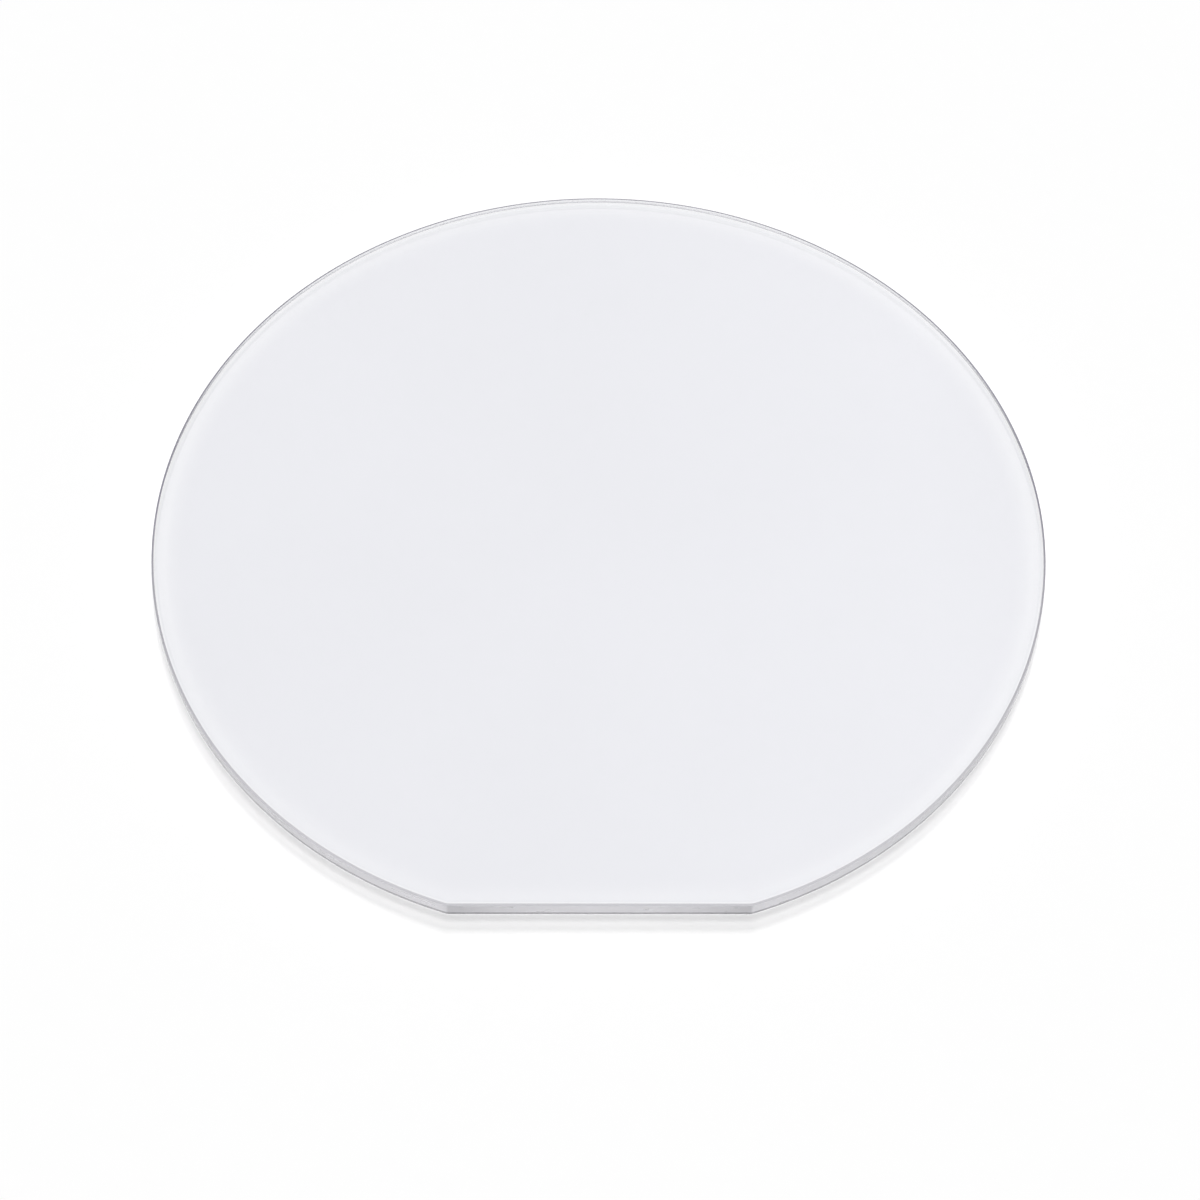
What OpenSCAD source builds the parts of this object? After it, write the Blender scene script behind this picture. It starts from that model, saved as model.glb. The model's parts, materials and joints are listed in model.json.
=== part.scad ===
// Sapphire wafer: a round slice of crystal with one orientation flat and a ground edge.
// Millimetres, +Z up. The origin is the centre of the round outline, on the back face.
// The flat faces -Y. The front face looks up, along +Z.
//
// The blank is sliced oversize. A profiled grinding wheel then travels round it: once round
// the rim, once along the flat, and round the short blend at each end of the flat. The wheel
// has the same section on every pass, so the chamfers run on from one stretch to the next.

/* [Blank] */
// Diameter across the round edge
wafer_d = 50.8; // [38:0.1:152]
// Thickness from the back face to the front face
wafer_t = 1; // [0.4:0.05:3]

/* [Orientation flat] */
// Length of the flat, from corner to corner
flat_l = 16; // [8:0.5:24]
// Radius that blends each end of the flat into the round edge
corner_r = 0.5; // [0.4:0.1:2]

/* [Ground edge] */
// Width of the chamfer across the face
chamfer_w = 0.12; // [0.04:0.01:0.15]
// Height of the chamfer down the edge
chamfer_h = 0.05; // [0.03:0.01:0.15]

/* [Hidden] */
// The wheel's slopes run past the faces by this many chamfers, so that they cut clean
overrun = 2;
rim_segments = 360;
blend_segments = 90;

// Material left on the sliced blank for the wheel to take off
grind_stock = overrun * chamfer_w;
wafer_r = wafer_d / 2;
// Distance from the centre of the wafer to the flat
flat_y = sqrt(pow(wafer_r, 2) - pow(flat_l / 2, 2));
// The axis of each blend is this far from the flat's middle, along the flat
blend_x = sqrt(pow(wafer_r - corner_r, 2) - pow(flat_y - corner_r, 2));
// Angle through which a blend turns, from the flat to the round edge
blend_angle = atan2(blend_x, flat_y - corner_r);
// The wheel is deep enough to clear all that the blank holds outside the flat
wheel_depth = wafer_r + 2 * grind_stock - flat_y;

// What the wheel takes off beside a wall that stands at x = wall
module wheel_section(wall) {
    low = chamfer_h * (1 - overrun);
    high = wafer_t - low;
    slope_x = wall - chamfer_w * overrun;
    outside_x = wall + wheel_depth;
    polygon([
        [wall, chamfer_h],
        [slope_x, low],
        [outside_x, low],
        [outside_x, high],
        [slope_x, high],
        [wall, wafer_t - chamfer_h]
    ]);
}

module sliced_blank() {
    cylinder(r = wafer_r + grind_stock, h = wafer_t, $fn = rim_segments);
}

module rim_pass() {
    rotate_extrude($fn = rim_segments)
        wheel_section(wafer_r);
}

module flat_pass() {
    rotate([90, 0, -90])
        linear_extrude(height = wafer_d, center = true)
            wheel_section(flat_y);
}

module blend_pass() {
    translate([blend_x, corner_r - flat_y, 0])
        rotate([0, 0, -90])
            rotate_extrude(angle = blend_angle, $fn = blend_segments)
                wheel_section(corner_r);
}

module wafer() {
    color([0.92, 0.92, 0.945, 0.6])
        difference() {
            sliced_blank();
            rim_pass();
            flat_pass();
            blend_pass();
            mirror([1, 0, 0])
                blend_pass();
        }
}

wafer();
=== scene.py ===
# %% [markdown]
# # A sapphire wafer, as a lesson
#
# A sapphire wafer is a slice of clear crystal. Its two round faces are polished, its edge is
# ground, and one short flat on the edge shows which way the crystal is turned. It is one piece
# with nothing to assemble, so the whole lesson is about three things: an exact outline, a
# finish for each kind of surface, and light that shows clear crystal on a white table.
#
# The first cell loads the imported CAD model. It gives the object's box and its recorded sizes,
# so nothing here is placed by eye.

# %% Load the frame
import json
import math

import bmesh
import bpy
from mathutils import Euler, Matrix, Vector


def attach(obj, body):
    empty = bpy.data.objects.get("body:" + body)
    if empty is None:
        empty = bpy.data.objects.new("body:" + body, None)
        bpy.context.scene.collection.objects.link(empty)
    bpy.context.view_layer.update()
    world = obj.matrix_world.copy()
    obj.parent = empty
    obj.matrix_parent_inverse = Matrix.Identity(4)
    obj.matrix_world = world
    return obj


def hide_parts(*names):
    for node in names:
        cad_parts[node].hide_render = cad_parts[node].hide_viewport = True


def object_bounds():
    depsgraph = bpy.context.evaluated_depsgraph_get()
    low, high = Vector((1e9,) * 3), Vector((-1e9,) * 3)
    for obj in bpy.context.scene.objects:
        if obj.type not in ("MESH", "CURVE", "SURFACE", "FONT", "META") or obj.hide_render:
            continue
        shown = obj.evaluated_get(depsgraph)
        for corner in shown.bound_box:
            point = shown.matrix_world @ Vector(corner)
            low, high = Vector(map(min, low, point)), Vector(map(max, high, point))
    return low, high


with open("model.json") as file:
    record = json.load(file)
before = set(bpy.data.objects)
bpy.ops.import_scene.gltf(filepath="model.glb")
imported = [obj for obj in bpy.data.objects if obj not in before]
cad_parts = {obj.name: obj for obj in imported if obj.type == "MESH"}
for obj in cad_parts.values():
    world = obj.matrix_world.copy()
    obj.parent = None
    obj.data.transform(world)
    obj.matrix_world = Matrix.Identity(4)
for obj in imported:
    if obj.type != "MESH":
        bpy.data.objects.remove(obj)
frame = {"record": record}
cad_low, cad_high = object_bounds()
record = frame["record"]
MM = 0.001
print("CAD box in mm:", [round(v / MM, 4) for v in (*cad_low, *cad_high)])

# %% [markdown]
# ## Sizes
#
# The wafer's sizes come from the CAD box, from the mounts in the record and from the CAD mesh.
# The round edge is recorded as a pin whose length is the straight part of the wall, so what is
# left of the thickness above and below it is the height of the two chamfers. Their width is how
# far the flat's edge steps back between the wall and the front face of the CAD mesh. The radius
# of the blends at the ends of the flat is the one size that the frame doesn't hold.

# %% Sizes of the wafer
mounts = {mount["name"]: mount for mount in record["mounts"]}
wafer_r = (cad_high.x - cad_low.x) / 2
wafer_t = cad_high.z - cad_low.z
flat_y = -cad_low.y
wall_h = mounts["round_edge"]["dims"]["length_mm"] * MM
chamfer_h = (wafer_t - wall_h) / 2
near_top = cad_high.z - chamfer_h / 100
cad_points = [v.co for v in bpy.data.objects["wafer"].data.vertices]
face_points = [p for p in cad_points if p.z > near_top]
chamfer_w = min(p.y for p in face_points) - cad_low.y
corner_r = 0.5 * MM
print("radius", round(wafer_r / MM, 3), "thickness", round(wafer_t / MM, 3))
print("flat at", round(-flat_y / MM, 3), "wall", round(wall_h / MM, 3))
print("chamfer", round(chamfer_w / MM, 4), "wide and", round(chamfer_h / MM, 4), "high")

# %% [markdown]
# ## Picking faces and edges in code
#
# Blender's modelling tools act on what is selected. By hand that is done with the mouse; in a
# script a rule does it. `choose` goes through the edges or faces of the mesh that is open in
# edit mode and selects those for which the rule holds. Everything is deselected first, because
# the CAD model is still selected after it has been loaded.


# %% Selecting by rule
def choose(part, rule, kind="edges"):
    shape = bmesh.from_edit_mesh(part.data)
    for group in (shape.faces, shape.edges, shape.verts):
        for element in group:
            element.select_set(False)
    count = 0
    for element in getattr(shape, kind):
        if rule(element):
            element.select_set(True)
            count += 1
    shape.select_flush_mode()
    bmesh.update_edit_mesh(part.data)
    return count


def edit(part):
    bpy.ops.object.select_all(action="DESELECT")
    part.select_set(True)
    bpy.context.view_layer.objects.active = part
    bpy.ops.object.mode_set(mode="EDIT")


# %% [markdown]
# ## The sliced blank
#
# The crystal grows as a thick boule, is ground to a round ingot and is cut into slices with a
# wire saw. A slice is a plain disc, and a filled circle that is extruded is the same thing. The
# disc is made only as high as the straight wall, because the chamfers are added above and below
# it later. The circle gets a vertex every half degree: clear crystal bends what is seen through
# it, and a coarse outline would show as a broken line of light round the rim.

# %% Slice the blank
rim_steps = 720
bpy.ops.object.select_all(action="DESELECT")
bpy.ops.mesh.primitive_circle_add(vertices=rim_steps, radius=wafer_r, fill_type="NGON")
wafer = bpy.context.object
wafer.name = "wafer_body"
edit(wafer)
bpy.ops.mesh.select_mode(type="FACE")
bpy.ops.mesh.select_all(action="SELECT")
bpy.ops.transform.translate(value=(0, 0, chamfer_h))
bpy.ops.mesh.extrude_region_move(TRANSFORM_OT_translate={"value": (0, 0, wall_h)})
bpy.ops.mesh.select_all(action="SELECT")
bpy.ops.mesh.normals_make_consistent(inside=False)
print("blank faces:", len(bmesh.from_edit_mesh(wafer.data).faces))

# %% [markdown]
# ## The orientation flat
#
# The flat is ground straight across the edge, square to a known crystal axis. Bisect does the
# same: a plane cuts the disc, the outside is thrown away and the cut is closed with a face.
# Places are compared within a ten-thousandth of a millimetre, because sums are rounded.

# %% Grind the flat
tiny = 0.0001 * MM
bpy.ops.mesh.bisect(
    plane_co=(0, -flat_y, 0),
    plane_no=(0, -1, 0),
    use_fill=True,
    clear_outer=True,
    clear_inner=False,
    threshold=tiny,
)
flat_edges = choose(wafer, lambda e: all(abs(v.co.y + flat_y) < tiny for v in e.verts))
print("edges round the flat:", flat_edges)

# %% [markdown]
# ## The corners of the flat
#
# Where the flat meets the round edge the wheel leaves a short blend, because a sharp corner of
# sapphire chips. A bevel on the two upright edges makes it. A bevel is set by how far it
# starts from the corner, so that distance is worked out from the radius and from the angle
# through which the edge turns there.


# %% Blend the corners
def upright_corner(edge):
    a, b = edge.verts
    upright = abs(a.co.x - b.co.x) < tiny and abs(a.co.y - b.co.y) < tiny
    return upright and abs(a.co.y + flat_y) < tiny


bpy.ops.mesh.select_mode(type="EDGE")
corners = choose(wafer, upright_corner)
corner_turn = math.acos(flat_y / wafer_r)
corner_start = corner_r * math.tan(corner_turn / 2)
corner_steps = 8
bpy.ops.mesh.bevel(
    offset=corner_start,
    offset_type="OFFSET",
    segments=corner_steps,
    profile=0.5,
    affect="EDGES",
)
print("corners blended:", corners, "turn in degrees:", round(math.degrees(corner_turn), 2))

# %% [markdown]
# ## The chamfers
#
# A profiled wheel takes the sharp rims off both faces, all the way round, flat and blends
# included. The slope is shallow, more than twice as wide as it is high, so a plain bevel, which
# is as wide as it is high, won't do. Inset with a depth makes any slope: it draws a smaller
# outline inside a face, at the same distance from its edge all round, and lifts it. Done once
# on the front face and once on the back, it also brings the disc to its full thickness. A face
# counts as level where nearly all of its normal lies along Z.

# %% Chamfer both rims
level = 0.999
bpy.ops.mesh.select_mode(type="FACE")
for side in (1, -1):
    chosen = choose(wafer, lambda f: f.normal.z * side > level, kind="faces")
    bpy.ops.mesh.inset(thickness=chamfer_w, depth=chamfer_h, use_even_offset=True)
    print("faces chamfered:", chosen)
heights = sorted({round(v.co.z / MM, 4) for v in bmesh.from_edit_mesh(wafer.data).verts})
print("heights in mm:", heights)

# %% [markdown]
# ## Which surface is which
#
# The wafer has four kinds of surface: the polished faces, the ground wall, and the upper and
# the lower chamfer, which differ in finish. Each gets its own material slot. The direction that
# a face looks in tells which it is: straight up or down is a polished face, straight out is the
# wall, and what slopes up or down between them is a chamfer. Then edges that turn by less than
# ten degrees are shaded smooth, and those between two finishes stay sharp.


# %% Give each surface its slot
def surface_kind(normal):
    if abs(normal.z) > level:
        return 0
    if abs(normal.z) < 1 - level:
        return 1
    return 2 if normal.z > 0 else 3


shape = bmesh.from_edit_mesh(wafer.data)
shape.normal_update()
counts = [0, 0, 0, 0]
for face in shape.faces:
    face.material_index = surface_kind(face.normal)
    counts[face.material_index] += 1
bmesh.update_edit_mesh(wafer.data)
bpy.ops.object.mode_set(mode="OBJECT")
sharpest_curve = math.radians(10)
bpy.ops.object.shade_smooth_by_angle(angle=sharpest_curve)
print("faces: polished", counts[0], "wall", counts[1], "chamfers", counts[2], counts[3])

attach(wafer, "root")
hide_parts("wafer")


# %% [markdown]
# ## Node helpers
#
# A finish is a small network of nodes. These helpers keep the cells short. One adds a node and
# sets its values, one joins two sockets, one does a sum on a value, and one spreads a range of
# a value over another range. Noise mostly lies between 0.3 and 0.7, so that is the range it
# starts from when no other is given. Two more turn a value into a colour along a row of stops,
# each a place and a colour, and make a colour darker or lighter.


# %% Helpers for nodes
def add(tree, kind, **values):
    node = tree.nodes.new(kind)
    for name, value in values.items():
        if name in node.inputs:
            node.inputs[name].default_value = value
        else:
            setattr(node, name, value)
    return node


def join(tree, start, end):
    tree.links.new(start, end)


def figure(tree, operation, first, second):
    node = add(tree, "ShaderNodeMath", operation=operation)
    for socket, value in zip(node.inputs, (first, second)):
        if isinstance(value, bpy.types.NodeSocket):
            join(tree, value, socket)
        else:
            socket.default_value = value
    return node.outputs[0]


def spread(tree, value, low, high, start=0.3, end=0.7):
    node = add(tree, "ShaderNodeMapRange")
    for name, number in (("From Min", start), ("From Max", end), ("To Min", low), ("To Max", high)):
        node.inputs[name].default_value = number
    join(tree, value, node.inputs["Value"])
    return node.outputs["Result"]


def tones(tree, value, stops):
    node = add(tree, "ShaderNodeValToRGB")
    length = stops[-1][0]
    dots = node.color_ramp.elements
    while len(dots) < len(stops):
        dots.new(1)
    for dot, (place, colour) in zip(dots, stops):
        dot.position = place / length
        dot.color = (*colour, 1)
    join(tree, spread(tree, value, 0, 1, 0, length), node.inputs["Fac"])
    return node.outputs["Color"]


def dim(tree, colour, amount):
    node = add(tree, "ShaderNodeVectorMath", operation="SCALE")
    join(tree, colour, node.inputs["Vector"])
    join(tree, amount, node.inputs["Scale"])
    return node.outputs["Vector"]


# %% [markdown]
# ## The crystal
#
# Sapphire is clear through and through, so every finish on it is the same clear shader, with a
# refractive index of 1.77, and only the surface differs. A trace of absorption in the bulk
# takes a little from light that has run a long way inside the plate, which is what makes the
# edge of a clear disc look greyer than its face.
#
# Three more helpers belong here: the place on the wafer that a pattern reads, noise, and a
# bump that gives the surface its unevenness, as deep as it is told.


# %% Clear crystal
sapphire_ior = 1.77
bulk_colour = (0.9, 0.9, 0.92, 1)
bulk_density = 20.0


def crystal(name):
    material = bpy.data.materials.new(name)
    material.use_nodes = True
    tree = material.node_tree
    shader = tree.nodes["Principled BSDF"]
    shader.inputs["IOR"].default_value = sapphire_ior
    shader.inputs["Transmission Weight"].default_value = 1
    bulk = add(tree, "ShaderNodeVolumeAbsorption", Color=bulk_colour, Density=bulk_density)
    join(tree, bulk.outputs["Volume"], tree.nodes["Material Output"].inputs["Volume"])
    return material, tree, shader


def place_on(tree, scale):
    where = add(tree, "ShaderNodeTexCoord")
    stretch = add(tree, "ShaderNodeMapping")
    stretch.inputs["Scale"].default_value = scale
    join(tree, where.outputs["Object"], stretch.inputs["Vector"])
    return where.outputs["Object"], stretch.outputs["Vector"]


def noise(tree, vector, scale, detail, gain=0.55):
    node = add(tree, "ShaderNodeTexNoise", Scale=scale, Detail=detail, Roughness=gain)
    join(tree, vector, node.inputs["Vector"])
    return node.outputs["Fac"]


def roughen(tree, shader, height, depth):
    node = add(tree, "ShaderNodeBump", Strength=1.0, Distance=depth)
    join(tree, height, node.inputs["Height"])
    join(tree, node.outputs["Normal"], shader.inputs["Normal"])


# %% [markdown]
# ## The polished faces
#
# Polished sapphire is not quite without marks: its tone carries faint clouds, centimetres wide.
# Across the plate runs a painted drift of light, which makes the face lighter towards the right.
# In the last two millimetres before the rim the face is painted paler, a painted halo of the
# light that the edge lets into the plate, with one thin darker line, a painted image of the edge
# seen through the plate. Toward the flat this halo is weaker, and a painted highlight, thinner
# still, runs along the very edge, so two rows of stops are mixed by the distance from the flat.
#
# The polish itself varies too: fine noise sets how rough it is, between nothing and a trace,
# and the clouds give it a waviness less than a thousandth of a millimetre deep.
#
# The distance from the rim is the smaller of two: to the round edge and to the flat. Both are
# worked out from the object's own coordinates, and a row of stops turns the distance into a
# tone. The stops are closest together near the rim, where the tone changes fastest.


# %% Distance from the rim
def rim_distance(tree, position):
    parts = add(tree, "ShaderNodeSeparateXYZ")
    join(tree, position, parts.inputs["Vector"])
    x, y = parts.outputs["X"], parts.outputs["Y"]
    square = figure(tree, "ADD", figure(tree, "MULTIPLY", x, x), figure(tree, "MULTIPLY", y, y))
    from_round = figure(tree, "SUBTRACT", wafer_r, figure(tree, "SQRT", square, 0))
    from_flat = figure(tree, "ADD", y, flat_y)
    return figure(tree, "MINIMUM", from_round, from_flat), x, y


face_tone = (0.843, 0.847, 0.885)
# Painted halo of light near the rim, with a darker line in it that is a painted image of the edge
# seen through the plate.
painted_halo_tones = (
    (0.0, (0.925, 0.93, 0.952)),
    (0.18 * MM, (0.925, 0.93, 0.952)),
    (0.22 * MM, (0.862, 0.868, 0.897)),
    (0.3 * MM, (0.862, 0.868, 0.897)),
    (0.34 * MM, (0.9, 0.904, 0.932)),
    (0.7 * MM, (0.9, 0.904, 0.932)),
    (1.1 * MM, (0.865, 0.869, 0.903)),
    (1.7 * MM, face_tone),
    (4.0 * MM, face_tone),
)
# At the flat: a painted highlight along the very edge, then a darker band, a painted image of the
# edge.
flat_painted_highlight_tones = (
    (0.0, (1.0, 1.0, 1.0)),
    (0.18 * MM, (1.0, 1.0, 1.0)),
    (0.21 * MM, (0.835, 0.839, 0.877)),
    (0.34 * MM, (0.835, 0.839, 0.877)),
    (0.5 * MM, face_tone),
    (4.0 * MM, face_tone),
)
# Painted light: the face is made lighter towards the right.
painted_drift_tones = (
    (0.0, (0.994, 0.994, 0.994)),
    (wafer_r, (1.0, 1.0, 1.0)),
    (1.75 * wafer_r, (1.022, 1.022, 1.022)),
    (2 * wafer_r, (1.0, 1.0, 1.0)),
)


# %% Polished sapphire
# How much of the painted halo is left at the flat.
painted_halo_at_flat = 0.5
cloud_scale = (60, 60, 60)
cloud_tones = (0.993, 1.007)
fine_scale = 9000.0
finest, coarsest = 0.0, 0.01
polish_depth = 0.0004 * MM


def polished_sapphire():
    material, tree, shader = crystal("polished_sapphire")
    position, stretched = place_on(tree, cloud_scale)
    distance, x, y = rim_distance(tree, position)
    rim = add(tree, "ShaderNodeMix", data_type="RGBA")
    join(tree, spread(tree, y, painted_halo_at_flat, 1.0, -flat_y, 0.0), rim.inputs["Factor"])
    join(tree, tones(tree, distance, flat_painted_highlight_tones), rim.inputs["A"])
    join(tree, tones(tree, distance, painted_halo_tones), rim.inputs["B"])
    clouds = noise(tree, stretched, scale=1.0, detail=2.0)
    drift = tones(tree, figure(tree, "ADD", x, wafer_r), painted_drift_tones)
    # Real clouds of tone, times the painted drift of light.
    clouds_and_painted_drift = figure(tree, "MULTIPLY", spread(tree, clouds, *cloud_tones), drift)
    join(tree, dim(tree, rim.outputs["Result"], clouds_and_painted_drift), shader.inputs["Base Color"])
    fine = noise(tree, position, scale=fine_scale, detail=1.0)
    join(tree, spread(tree, fine, finest, coarsest), shader.inputs["Roughness"])
    roughen(tree, shader, clouds, polish_depth)
    return material


wafer.data.materials.append(polished_sapphire())
print("stops across the rim:", len(painted_halo_tones))

# %% [markdown]
# ## The ground edge
#
# A fine diamond wheel leaves the edge frosted, with faint lines along its path. The lines run
# round the wafer, parallel to the faces, so noise that is squeezed in height and stretched
# along the wall makes them. Fine grain on top gives the frost its bite.
#
# The frost isn't the same all round. The wheel starts and ends its lap at the flat, so the edge
# is roughest there and smoother on the far side. The flat's wall is painted a shade darker than
# the round edge beside it, and the wall toward the flat a little darker than on the far side:
# both are painted shade. A thin dark strip of painted shade runs along the foot of the wall,
# where it meets the table, and fades with the distance from the flat. The object's Y drives all
# of this: a mix between two colours makes the strip and the darker wall fade, one range of Y
# changes the roughness, and a short one picks the flat.
#
# The two chamfers are ground in the same pass, but they don't look the same. The upper one is
# painted dark, a painted shade that draws a thin dark line round the rim, and toward the flat it
# is painted lighter, painted light from the front lamp. The lower one has been cleared by the lap
# on which the back face was thinned, and it is almost as smooth as glass.


# %% How the ground edge changes along Y
turning = (-20 * MM, 2 * MM)
flat_end = (0.05 * MM - flat_y, 0.3 * MM - flat_y)
far_finish = 0.7


def edge_tone(tree, y, z, colour, near_flat, stops):
    ground = add(tree, "ShaderNodeMix", data_type="RGBA")
    join(tree, spread(tree, y, 0, 1, *turning), ground.inputs["Factor"])
    ground.inputs["A"].default_value = (*(near_flat or colour), 1)
    ground.inputs["B"].default_value = (*colour, 1)
    if stops:
        height = figure(tree, "SUBTRACT", z, chamfer_h)
        join(tree, tones(tree, height, stops), ground.inputs["A"])
    return ground.outputs["Result"]


# %% Ground sapphire
line_scale = (500, 500, 9000)
line_tones = (0.985, 1.015)
line_finish = (0.9, 1.1)
grain_scale = 30000.0
grain_depth = 0.0005 * MM


def ground_sapphire(name, colour, roughness, near_flat=None, stops=None, painted_shade_on_flat=1.0):
    material, tree, shader = crystal(name)
    position, stretched = place_on(tree, line_scale)
    lines = noise(tree, stretched, scale=1.0, detail=2.0)
    grain = noise(tree, position, scale=grain_scale, detail=1.0)
    parts = add(tree, "ShaderNodeSeparateXYZ")
    join(tree, position, parts.inputs["Vector"])
    y, z = parts.outputs["Y"], parts.outputs["Z"]
    # Painted shade: the flat's own wall is made darker.
    painted_flat_shade = spread(tree, y, painted_shade_on_flat, 1, *flat_end)
    # The grinding lines, times the painted shade on the flat.
    streaks_and_painted_shade = figure(tree, "MULTIPLY", painted_flat_shade, spread(tree, lines, *line_tones))
    tone = dim(tree, edge_tone(tree, y, z, colour, near_flat, stops), streaks_and_painted_shade)
    join(tree, tone, shader.inputs["Base Color"])
    finish = spread(tree, lines, *(roughness * share for share in line_finish))
    smoother = spread(tree, y, 1, far_finish, *turning)
    join(tree, figure(tree, "MULTIPLY", finish, smoother), shader.inputs["Roughness"])
    roughen(tree, shader, grain, grain_depth)
    return material


# %% Three ground finishes
wall_tone = (0.99, 0.979, 0.995)
# Painted shade: toward the flat the wall is made a little darker than on the far side.
near_flat_wall_painted_shade = (0.972, 0.959, 0.981)
# Painted shade: a thin dark strip along the foot of the wall, where it meets the table.
foot_painted_shade = (0.25, 0.24, 0.255)
foot_painted_shade_stops = (
    (0.0, foot_painted_shade),
    (0.16 * MM, foot_painted_shade),
    (0.24 * MM, near_flat_wall_painted_shade),
    (wall_h, near_flat_wall_painted_shade),
)
# Painted shade: the upper chamfer is made dark to draw the dark line round the rim; toward the flat
# it is painted lighter, painted light from the front lamp.
upper_chamfer_painted_shade = (0.07, 0.065, 0.1)
flat_upper_chamfer_painted_light = (0.42, 0.41, 0.44)
lower_tone = (0.98, 0.98, 0.98)
finishes = (
    # The wall's value on the flat is painted shade.
    ground_sapphire("ground_wall", wall_tone, roughness=0.3, stops=foot_painted_shade_stops, painted_shade_on_flat=0.87),
    ground_sapphire("upper_chamfer", upper_chamfer_painted_shade, roughness=0.35, near_flat=flat_upper_chamfer_painted_light),
    ground_sapphire("lower_chamfer", lower_tone, roughness=0.05),
)
for finish in finishes:
    wafer.data.materials.append(finish)
print("finishes:", [slot.name for slot in wafer.data.materials])

# %% [markdown]
# ## The table
#
# The wafer lies on a plain white table with a faint grain. The table is a hair lower than the
# wafer's back face, because two surfaces at exactly the same height would flicker.
#
# To the camera the table is ordinary white paint, which takes shadows. To light that has been
# reflected by the crystal or has passed through it, it is nearly the same white as the room,
# without shadows, and the face of the clear plate stays even in tone right up to its rim.
# Light Path tells the two apart.

# %% Table
table_gap = 0.02 * MM
table_size = 4
bpy.ops.object.select_all(action="DESELECT")
bpy.ops.mesh.primitive_plane_add(size=table_size, location=(0, 0, -table_gap))
table = bpy.context.object
table.name = "table"


# %% White paint
def beyond_crystal(tree):
    ray = add(tree, "ShaderNodeLightPath")
    return figure(tree, "MAXIMUM", ray.outputs["Is Glossy Ray"], ray.outputs["Is Transmission Ray"])


paint_scale = 700.0
paint_tones = (0.983, 0.987)
room_share = 0.9


def white_paint():
    material = bpy.data.materials.new("white_table")
    material.use_nodes = True
    tree = material.node_tree
    shader = tree.nodes["Principled BSDF"]
    shader.inputs["Roughness"].default_value = 1
    shader.inputs["Specular IOR Level"].default_value = 0
    position = add(tree, "ShaderNodeTexCoord").outputs["Object"]
    grain = noise(tree, position, scale=paint_scale, detail=3.0)
    join(tree, spread(tree, grain, *paint_tones), shader.inputs["Base Color"])
    white = add(tree, "ShaderNodeEmission", Color=(1, 1, 1, 1), Strength=1.0)
    both = add(tree, "ShaderNodeMixShader")
    join(tree, figure(tree, "MULTIPLY", beyond_crystal(tree), room_share), both.inputs["Fac"])
    join(tree, shader.outputs["BSDF"], both.inputs[1])
    join(tree, white.outputs["Emission"], both.inputs[2])
    join(tree, both.outputs["Shader"], tree.nodes["Material Output"].inputs["Surface"])
    return material


table.data.materials.append(white_paint())

# %% [markdown]
# ## Light
#
# Clear crystal shows whatever is round it, so the surroundings are plain white for the camera
# and for rays that the crystal reflects or lets through. For all else the room is dim, and the
# table is lit by three soft lamps over the wafer. The main one stands in front. Two weaker ones
# stand behind, a little to the right, one low and one high, and throw the short stepped shadow
# that lies in front of the wall. A lamp's share is the part of the table's white that it gives,
# and the shares and the room's own light add up to about one.


# %% World and lamps
def white_surroundings(light_level):
    world = bpy.data.worlds.new("white_room")
    bpy.context.scene.world = world
    world.use_nodes = True
    tree = world.node_tree
    background = tree.nodes["Background"]
    background.inputs["Color"].default_value = (1, 1, 1, 1)
    camera_ray = add(tree, "ShaderNodeLightPath").outputs["Is Camera Ray"]
    seen = figure(tree, "MAXIMUM", camera_ray, beyond_crystal(tree))
    join(tree, spread(tree, seen, light_level, 1, 0, 1), background.inputs["Strength"])


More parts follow.
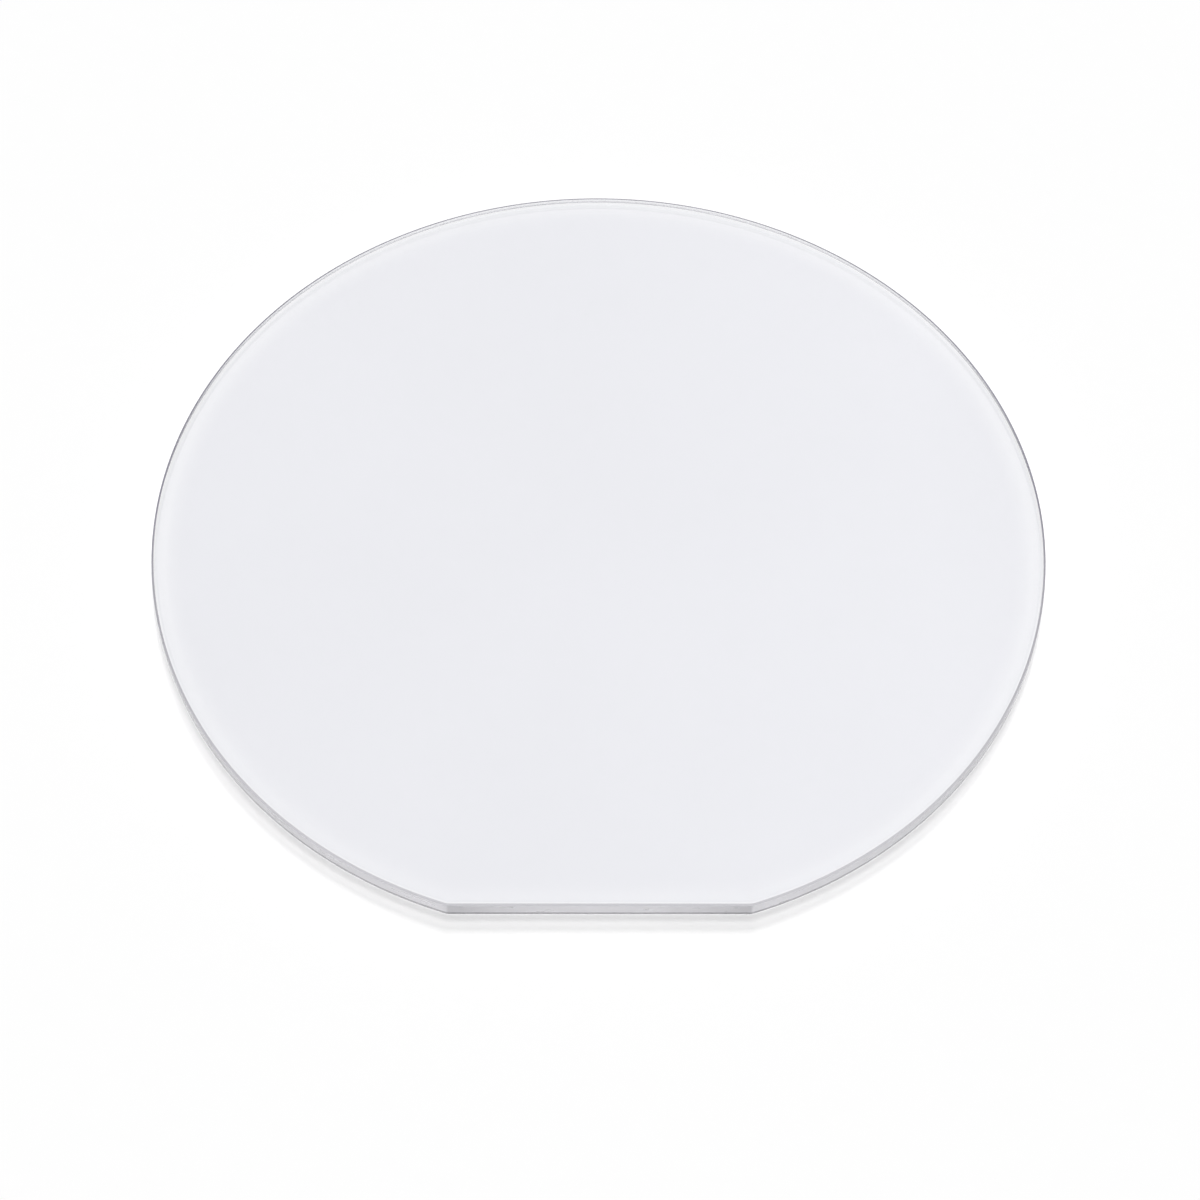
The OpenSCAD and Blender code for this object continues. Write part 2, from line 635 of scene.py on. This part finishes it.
def soft_lamp(name, share, elevation, bearing, width):
    lamp = bpy.data.lights.new(name, "SUN")
    lamp.energy = share * math.pi / math.sin(math.radians(elevation))
    lamp.angle = math.radians(width)
    holder = bpy.data.objects.new(name, lamp)
    bpy.context.scene.collection.objects.link(holder)
    height, way = math.radians(elevation), math.radians(bearing)
    flat_part = math.cos(height)
    holder.location = (flat_part * math.sin(way), -flat_part * math.cos(way), math.sin(height))
    holder.rotation_euler = (-holder.location).to_track_quat("-Z", "Y").to_euler()
    holder.visible_glossy = False
    holder.visible_transmission = False
    return share


room_level = 0.08
white_surroundings(room_level)
total = room_level
total += soft_lamp("front_lamp", share=0.498, elevation=60, bearing=0, width=10)
total += soft_lamp("rear_lamp", share=0.25, elevation=43, bearing=176, width=14)
total += soft_lamp("high_lamp", share=0.18, elevation=68.5, bearing=176, width=14)
print("light on the table:", round(total, 3))

# %% [markdown]
# ## Camera
#
# The camera looks down at the wafer from the side of the flat, at about 56 degrees, through a
# portrait lens, long enough to keep the round outline from being pulled out of shape. It is
# tilted down, turned a little to the side and rolled about its own axis, in that order. It
# stands close to something so small, so it has to see things from a centimetre away.

# %% Camera
tilt_down = math.radians(55.7354)
turn = math.radians(-0.5648)
roll = math.radians(0.5276)
camera_data = bpy.data.cameras.new("camera")
camera = bpy.data.objects.new("camera", camera_data)
bpy.context.scene.collection.objects.link(camera)
bpy.context.scene.camera = camera
camera_data.sensor_width = 36
camera_data.lens = 84.45
camera_data.clip_start = 10 * MM
camera.location = (-0.8208 * MM, -93.6243 * MM, 131.3705 * MM)
aim = Euler((math.pi / 2 - tilt_down, 0, turn)).to_matrix()
camera.rotation_euler = (aim @ Matrix.Rotation(roll, 3, "Z")).to_euler()
print("camera distance in mm:", round(camera.location.length / MM, 1))

# %% [markdown]
# ## Light paths
#
# Light that enters the edge of a clear plate is trapped between the polished faces and comes
# out on the far side after dozens of reflections, so the number of bounces is raised. The
# renderer's shortcut that blurs mirror-like surfaces after a soft bounce is turned off,
# because it would take light from the table under the crystal.

# %% Light paths
crystal_bounces = 96
scene = bpy.context.scene
scene.cycles.max_bounces = crystal_bounces
scene.cycles.glossy_bounces = crystal_bounces
scene.cycles.transmission_bounces = crystal_bounces
scene.cycles.diffuse_bounces = 6
scene.cycles.blur_glossy = 0
scene.view_settings.view_transform = "Standard"
